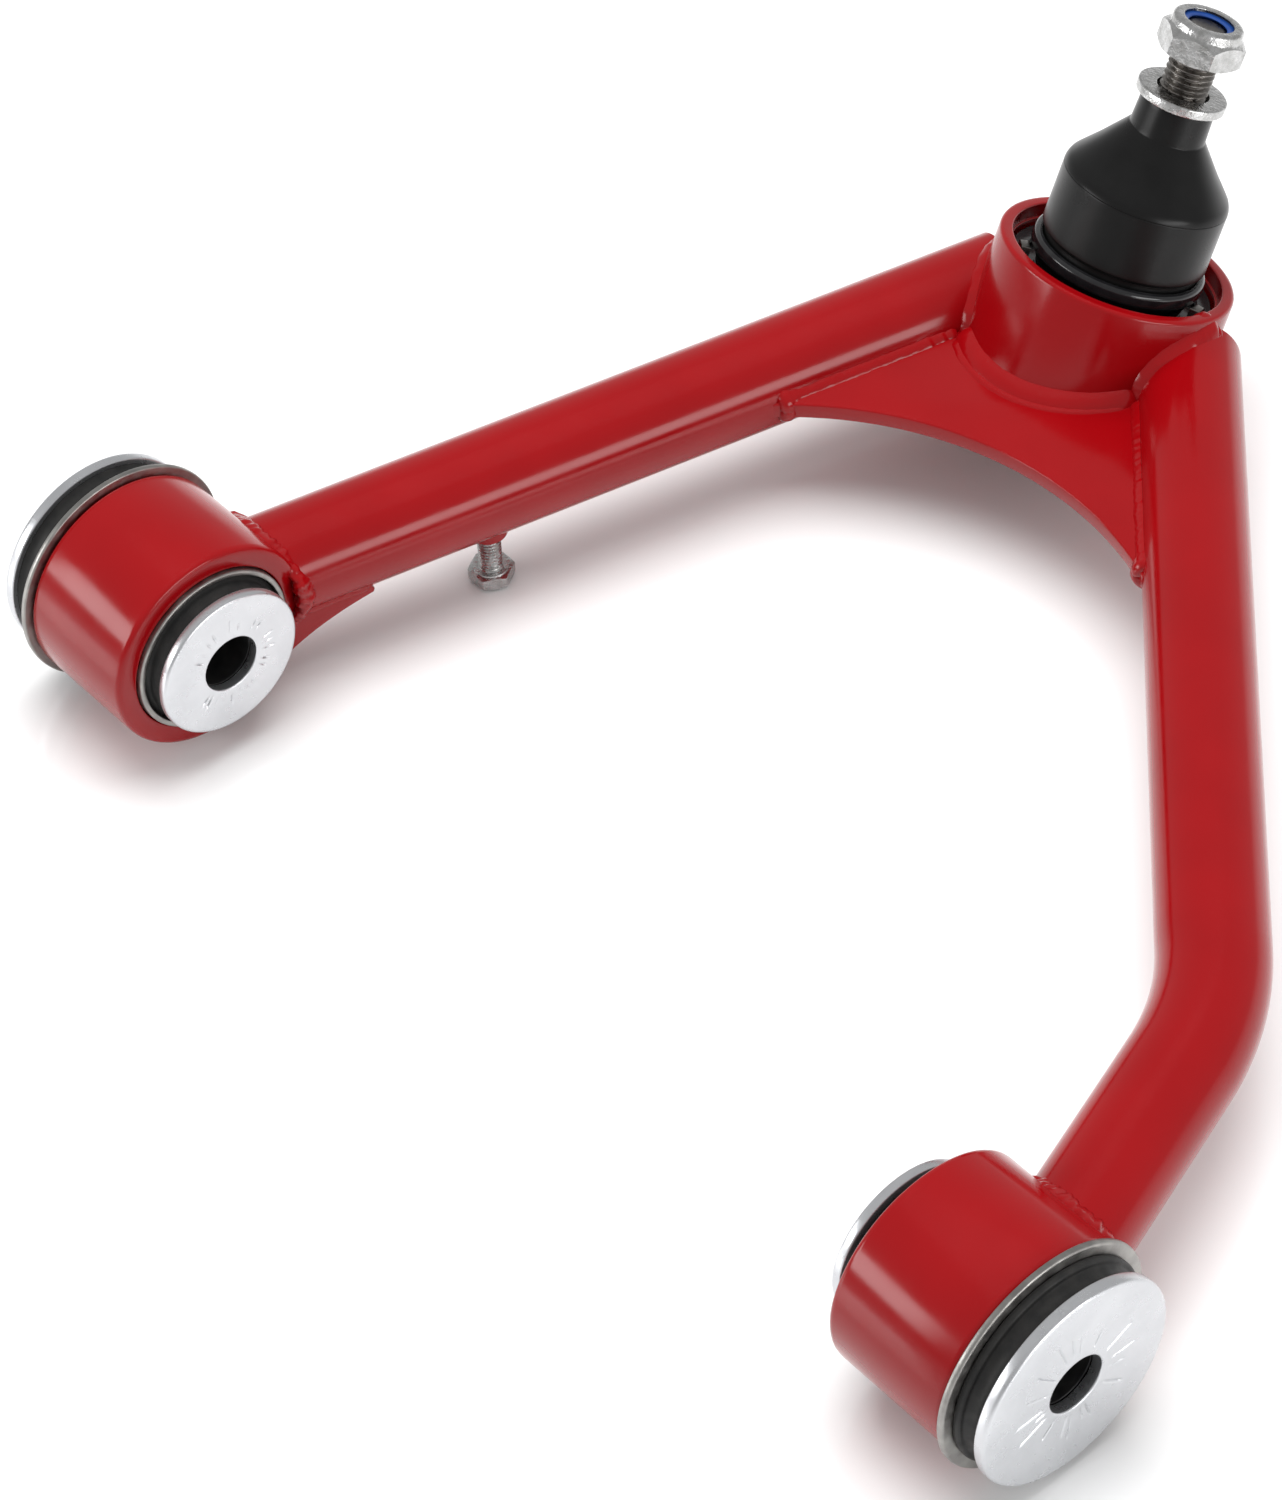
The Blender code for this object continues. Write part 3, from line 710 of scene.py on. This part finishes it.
HEAD_T = 4.0
BOLT_AF = 10.0
SHANK_R = 2.9
HEAD_TURN = math.radians(59.0)    # direction of a flat
CHAMFER = math.radians(30.0)
head_low = bolt_size.low
head_top = bolt_size.low + HEAD_T


def bolt_column(angle):
    """Outline of the hexagon bolt at an angle: dished head, flats, washer face and thread."""
    flat = hex_radius(angle, BOLT_AF, HEAD_TURN)
    crown = BOLT_AF / 2 * 0.94
    bevel = (flat - crown) * math.tan(CHAMFER)
    points = [(0.0, head_low + 0.35), (2.6, head_low + 0.35), (3.3, head_low + 0.05),
              (crown, head_low), (flat, head_low + bevel), (flat, head_top - 0.45 - bevel * 0.5),
              (BOLT_AF / 2 * 0.96, head_top - 0.40), (4.5, head_top - 0.38), (4.4, head_top),
              (SHANK_R + 0.25, head_top), (SHANK_R, head_top + 0.25)]
    points += thread_column(angle, head_top + 0.4, bolt_size.high - 0.6, SHANK_R, BOLT_PITCH)
    return points + [(SHANK_R - 0.6, bolt_size.high), (0.0, bolt_size.high)]


turned("line_bracket_bolt", bolt_column, bolt_frame, zinc, "bracket_bolt", ["line_bracket_bolt"],
       120, 28.0)

# ---------------------------------------------------------------- bushings
Mark = namedtuple("Mark", "angle start end half_width depth")


def stamped(marks, angle, radius):
    """Depth of the stamped serrations at a point of a washer's face."""
    depth = 0.0
    for mark in marks:
        swing = abs((angle - mark.angle + math.pi) % math.tau - math.pi) * radius
        if swing > mark.half_width * 3.0 or not mark.start <= radius <= mark.end:
            continue
        ease = min(1.0, (radius - mark.start) / 0.7, (mark.end - radius) / 0.9)
        depth += mark.depth * ease * math.exp(-(swing / mark.half_width) ** 2)
    return depth


def serrations(seed, count, start, end, skip):
    """Stamped radial marks round a hole, unevenly spaced, of uneven length."""
    dice = random.Random(seed)
    marks = []
    for k in range(count):
        angle = math.tau * (k + dice.uniform(-0.25, 0.25)) / count
        if dice.random() < skip:
            continue
        reach_out = end - (end - start) * 0.65 * dice.random()
        marks.append(Mark(angle, start + dice.uniform(0.0, 1.0), reach_out,
                          dice.uniform(0.16, 0.26), dice.uniform(0.22, 0.42)))
    return marks


def washer(name, leg, place, size, outward, marks, edge):
    """A zinc-plated washer with a rolled rim and stamped marks on its outer face."""
    face = size.high if outward else size.low
    back = size.low if outward else size.high
    into = -1.0 if outward else 1.0
    mark_radii = [size.inner + 0.45 + 0.55 * i for i in range(22)]
    rim = rounded([(size.inner, back, 0.3), (size.inner, face, 0.45), (size.outer, face, edge),
                   (size.outer, back, 0.5)])
    split = next(i for i, (r, z) in enumerate(rim) if r > size.inner + 5.0)

    def column(angle):
        rows = [(r, face + into * stamped(marks, angle, r)) for r in mark_radii
                if r < size.outer - edge - 0.3]
        return rim[:split] + rows[1:] + rim[split:]

    turned(name, column, place, washer_zinc, leg + "_sleeve", [name], 480)


for leg, place, seed in (("straight_leg", straight_bushing, 3), ("bent_leg", bent_bushing, 8)):
    eye = extent(leg + "_eye", place)
    turned(leg + "_eye", hoop(eye, 0.5, 1.7, 1.7, 0.5), place, red_paint, "arm",
           [leg + "_eye"])

    shell = extent(leg + "_bushing_shell", place)
    tube_out = eye.inner - 0.3
    shell_outline = rounded([
        (shell.inner, shell.low, 0.35), (tube_out, shell.low, 0.55), (tube_out, eye.high + 0.3, 0.2),
        (shell.outer, eye.high + 0.3, 0.5), (shell.outer, shell.high, 0.8), (shell.inner, shell.high, 0.6)])
    turned(leg + "_bushing_shell", shell_outline, place, raw_steel, "arm",
           [leg + "_bushing_shell"])

    small = extent(leg + "_small_washer", place)
    large = extent(leg + "_large_washer", place)
    sleeve = extent(leg + "_inner_sleeve", place)
    lip = shell.high + 0.1
    rubber_outline = rounded([
        (sleeve.outer + 0.2, small.high, 0.0), (16.9, small.high, 0.4), (17.6, small.high + 1.4, 0.4),
        (18.2, shell.low + 0.4, 0.4), (shell.inner - 0.1, shell.low + 1.6, 0.3),
        (shell.inner - 0.1, lip, 0.2), (25.4, lip, 0.6), (25.4, lip + 1.7, 0.8), (24.2, lip + 2.0, 0.3),
        (23.3, lip + 3.2, 1.0), (23.4, large.low - 1.4, 1.0), (24.3, large.low - 0.2, 0.4),
        (24.3, large.low, 0.1), (sleeve.outer + 0.2, large.low, 0.0)], 5)
    turned(leg + "_bushing_rubber", rubber_outline, place, rubber, "arm",
           [leg + "_bushing_rubber"])
    # The inner sleeve takes the nearly black steel: painted shade inside the bore
    turned(leg + "_inner_sleeve", hoop(sleeve, 0.3, 0.3, 0.3, 0.3), place, sleeve_painted_shade,
           leg + "_sleeve", [leg + "_inner_sleeve"], 64)
    washer(leg + "_small_washer", leg, place, small, False, serrations(seed, 30, 9.0, 13.4, 0.12), 1.0)
    washer(leg + "_large_washer", leg, place, large, True, serrations(seed + 1, 30, 8.6, 17.5, 0.30), 1.1)

# ---------------------------------------------------------------- ball joint housing
body_size = extent("ball_joint_body", ring_frame)
cover_size = extent("ball_joint_bottom_cover", ring_frame)
body_outline = rounded([
    (cover_size.outer + 0.3, body_size.low, 0.3), (22.6, body_size.low, 0.8), (22.6, -10.6, 0.2),
    (body_size.outer, -10.6, 0.2), (body_size.outer, -7.0, 0.5), (18.3, -7.0, 0.5), (18.3, -1.6, 0.4),
    (17.4, -0.9, 0.3), (13.6, -0.9, 0.3), (11.2, -4.6, 0.4), (15.9, -16.0, 3.0), (14.9, -27.0, 0.4)])
turned("ball_joint_body", body_outline, ring_frame, black_steel, "arm",
       ["ball_joint_body"])
cover_outline = [(0.0, cover_size.low + 1.1), (6.0, cover_size.low + 1.0), (9.6, cover_size.low + 0.1),
                 (cover_size.outer - 0.6, cover_size.low), (cover_size.outer, cover_size.low + 0.6),
                 (cover_size.outer, cover_size.high), (9.5, cover_size.high),
                 (9.5, cover_size.high - 1.9), (0.0, cover_size.high - 1.9)]
turned("ball_joint_bottom_cover", cover_outline, ring_frame, black_steel, "arm",
       ["ball_joint_bottom_cover"])
frame["nodes"]["ball_socket_liner"].data.materials.clear()
frame["nodes"]["ball_socket_liner"].data.materials.append(liner_white)


def open_ring(name, outline, gap_at, gap, look, body, node):
    """A ring with a gap, its ends finished as small rounded lugs."""
    rings = []
    steps = 140
    sweep = math.tau - gap
    for k in range(steps + 1):
        angle = gap_at + gap / 2 + sweep * k / steps
        end = min(k, steps - k) * sweep / steps
        grow = 1.0 + 0.35 * max(0.0, 1.0 - abs(end - 0.07) / 0.07)
        centre = sum(r for r, z in outline) / len(outline)
        level = sum(z for r, z in outline) / len(outline)
        ring = []
        for r, z in outline:
            far = centre + (r - centre) * grow - (grow - 1.0) * 1.2
            ring.append(ring_frame @ Vector((far * math.cos(angle), far * math.sin(angle),
                                             level + (z - level) * grow)))
        rings.append(ring)
    verts, faces = lofted(rings)
    return make(name, verts, faces, look, body, [node])


snap = extent("ball_joint_snap_ring", ring_frame)
SNAP_GAP_AT = math.radians(60.0)  # direction of the gap, which the photo doesn't show
SNAP_GAP = 0.28                # radians
open_ring("ball_joint_snap_ring", hoop(snap, 0.4, 0.4, 0.5, 0.5), SNAP_GAP_AT, SNAP_GAP, black_steel,
          "arm", "ball_joint_snap_ring")

# Two bright lumps seen beside the boot's foot; no solid stands behind them
TAB_R = 23.0
TAB_ANGLES = (141.0, 286.0)
TAB_SINK = 0.2
TAB_TOP = 3.4
TAB_OUTLINE = [(-1.3, -2.0), (1.3, -1.6), (1.2, 1.7), (-1.2, 2.0)]
for number, angle in enumerate(TAB_ANGLES, 1):
    swing = Matrix.Rotation(math.radians(angle), 4, "Z")
    tab_frame = ring_frame @ swing @ Matrix.Translation((TAB_R, 0, 0))
    plate("snap_ring_tab_%d" % number, TAB_OUTLINE, snap.high - TAB_SINK, snap.high + TAB_TOP, tab_frame,
          dark_steel, "arm", (), 0.5)

CLAMP_DROP = 0.9               # how much lower the ring is drawn than its solid
clamp = extent("boot_clamp_ring", ring_frame)
turned("boot_clamp_ring", hoop(clamp, 0.4, 0.9, 1.3, 0.4, -CLAMP_DROP), ring_frame, black_steel,
       "arm", ["boot_clamp_ring"])

# ---------------------------------------------------------------- dust boot
CREASE = 20.4                  # station where the boot's lower and upper meshes meet
BOOT_R = 20.6
BOOT_INNER = 18.2
GROOVE_R = 19.4                # foot of the boot, under the clamp ring
boot_size = extent("dust_boot", ring_frame)
lower_outline = divided(rounded([
    (18.6, boot_size.low, 0.2), (GROOVE_R, boot_size.low, 0.2), (GROOVE_R, 3.7, 0.4), (BOOT_R, 4.2, 0.5),
    (BOOT_R, 19.2, 0.6), (BOOT_R, CREASE, 0.3), (BOOT_INNER, CREASE, 0.2), (BOOT_INNER, 8.0, 0.3),
    (18.6, 5.0, 0.6)]), 1.2)
upper_outline = divided(rounded([
    (BOOT_R, CREASE, 0.15), (20.2, 21.8, 0.9), (15.5, 27.3, 1.5), (9.8, 34.6, 0.25), (9.35, 35.1, 0.25),
    (9.05, boot_size.high, 0.35), (8.0, boot_size.high, 0.2), (8.0, 35.2, 0.5), (8.4, 33.6, 0.5),
    (BOOT_INNER, CREASE, 0.2)]), 1.2)
lower_boot = turned("dust_boot_lower", lower_outline, ring_frame, boot_rubber,
                    nodes=["dust_boot"])
upper_boot = turned("dust_boot_upper", upper_outline, ring_frame, boot_rubber,
                    nodes=["dust_boot"])


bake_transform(lower_boot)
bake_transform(upper_boot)

neck_ring = extent("boot_neck_ring", ring_frame)
turned("boot_neck_ring", hoop(neck_ring, 0.2, 0.2, 0.2, 0.2), ring_frame, dark_steel,
       "boot_neck", ["boot_neck_ring"], 64)

# ---------------------------------------------------------------- stud, washer and nut
stud_size = extent("ball_stud", ring_frame)
BALL_R = 13.2
ball_station = -rim_station
THREAD_R = 5.9
THREAD_LOW = 43.6
SHOULDER_R = 6.8               # slimmer than the solid's, to clear the boot when the stud tilts
stud_lower = []
for step in range(25):
    angle = math.radians(-75.0 + 137.0 * step / 24)
    stud_lower.append((BALL_R * math.cos(angle), ball_station + BALL_R * math.sin(angle)))
stud_lower = [(0.0, stud_lower[0][1])] + stud_lower
stud_lower += [(5.6, -3.4), (5.6, 17.0), (SHOULDER_R, 22.0), (SHOULDER_R, 24.5), (6.5, 35.5), (6.3, 43.0)]
stud_tip = [(THREAD_R - 0.9, stud_size.high - 0.5), (THREAD_R - 1.4, stud_size.high - 0.1),
            (THREAD_R - 2.0, stud_size.high), (0.0, stud_size.high)]


def stud_column(angle):
    return stud_lower + thread_column(angle, THREAD_LOW, stud_size.high - 1.0, THREAD_R, THREAD_PITCH) \
        + stud_tip


turned("ball_stud", stud_column, ring_frame, dark_steel, "stud", ["ball_stud"], 120, 50.0)

flat_washer = extent("stud_washer", ring_frame)
turned("stud_washer", hoop(flat_washer, 0.3, 0.5, 0.5, 0.3), ring_frame, zinc, "stud",
       ["stud_washer"])

NUT_AF = 18.6
NUT_TURN = math.radians(25.0)     # direction of a flat
NUT_HEX = 6.6
nut_size = extent("lock_nut", ring_frame)
nut_low, nut_top = nut_size.low, nut_size.high
hex_top = nut_low + NUT_HEX


def nut_column(angle):
    """Outline of the lock nut at an angle: chamfered flats, rolled collar and tapped bore."""
    flat = hex_radius(angle, NUT_AF, NUT_TURN)
    crown = NUT_AF / 2 * 0.96
    bevel = (flat - crown) * math.tan(CHAMFER)
    points = [(6.9, nut_low), (crown, nut_low), (flat, nut_low + bevel),
              (flat, hex_top - bevel * 1.35), (NUT_AF / 2 * 0.965, hex_top), (8.85, hex_top + 0.25)]
    points += rounded([(8.75, hex_top + 0.5, 0.0), (8.7, nut_top, 1.2), (6.1, nut_top, 0.4),
                       (6.1, nut_top - 0.4, 0.1)], 6)
    points += [(7.45, nut_top - 0.75), (7.45, hex_top - 1.0), (6.25, hex_top - 1.1), (6.25, nut_low + 0.7)]
    return points


turned("lock_nut", nut_column, ring_frame, zinc, "nut", ["lock_nut"], 240, 30.0)
insert = extent("nylon_insert", ring_frame)
turned("nylon_insert", rounded([
    (6.25, insert.low, 0.1), (insert.outer, insert.low, 0.2), (insert.outer, insert.high, 0.2),
    (insert.inner + 0.5, insert.high, 0.3), (insert.inner, insert.high - 0.35, 0.1),
    (insert.inner, insert.high - 0.45, 0.1), (5.2, insert.high - 0.95, 0.2), (6.25, insert.low + 0.4, 0.1)]),
    ring_frame, blue_nylon, "nut_insert", ["nylon_insert"], 96)

# ---------------------------------------------------------------- floor, lights and camera
floor_mesh = bpy.data.meshes.new("floor")
FLOOR_HALF = 4.0
FLOOR_DROP = 0.0003            # keeps the floor clear of the part's lowest faces
floor_mesh.from_pydata([(x * FLOOR_HALF, y * FLOOR_HALF, -FLOOR_DROP)
                        for x, y in ((-1, -1), (1, -1), (1, 1), (-1, 1))], [], [(0, 1, 2, 3)])
floor = bpy.data.objects.new("floor", floor_mesh)
bpy.context.scene.collection.objects.link(floor)
floor_mesh.materials.append(finish("floor_white", (0.90, 0.90, 0.90), (0.88, 0.88, 0.88), 0.6, 0.0,
                                   (0.10, 0.14), 2.0, [(300.0, 0.00005, 0.02)], specular=0.5))


def softbox(name, at, aim, width, height, watts, mirrored=True):
    """A rectangular studio light facing a point, in metres; unmirrored, reflections don't show it."""
    lamp = bpy.data.lights.new(name, "AREA")
    lamp.shape = "RECTANGLE"
    lamp.size = width
    lamp.size_y = height
    lamp.energy = watts
    obj = bpy.data.objects.new(name, lamp)
    obj.location = at
    obj.rotation_euler = (Vector(aim) - Vector(at)).to_track_quat("-Z", "Y").to_euler()
    obj.visible_glossy = mirrored
    bpy.context.scene.collection.objects.link(obj)


softbox("softbox_left", (-1.35, 0.85, 0.45), (0.0, 0.0, 0.05), 0.9, 0.45, 9.0)
softbox("softbox_front", (0.15, -1.45, 0.40), (0.0, 0.0, 0.05), 1.1, 0.45, 9.0)
softbox("softbox_overhead", (0.2, 0.3, 1.7), (0.0, 0.0, 0.0), 1.6, 1.4, 37.0, False)

world = bpy.data.worlds.new("studio")
world.use_nodes = True
world.node_tree.nodes["Background"].inputs["Color"].default_value = (1.0, 1.0, 1.0, 1.0)
world.node_tree.nodes["Background"].inputs["Strength"].default_value = 0.5
bpy.context.scene.world = world
bpy.context.scene.view_settings.view_transform = "Standard"

CAMERA_AT = (-0.56038, -0.59814, 0.87870)
CAMERA_LOOK = Vector((0.42320, 0.53663, -0.73002))
CAMERA_RIGHT = (0.75422, -0.65512, -0.04435)
camera_data = bpy.data.cameras.new("camera")
camera_data.sensor_fit = "VERTICAL"
camera_data.sensor_height = 24.0
camera_data.lens = 83.2
camera_data.clip_start = 0.01
camera = bpy.data.objects.new("camera", camera_data)
camera.matrix_world = axes_frame(CAMERA_AT, -CAMERA_LOOK, CAMERA_RIGHT)
bpy.context.scene.collection.objects.link(camera)
bpy.context.scene.camera = camera
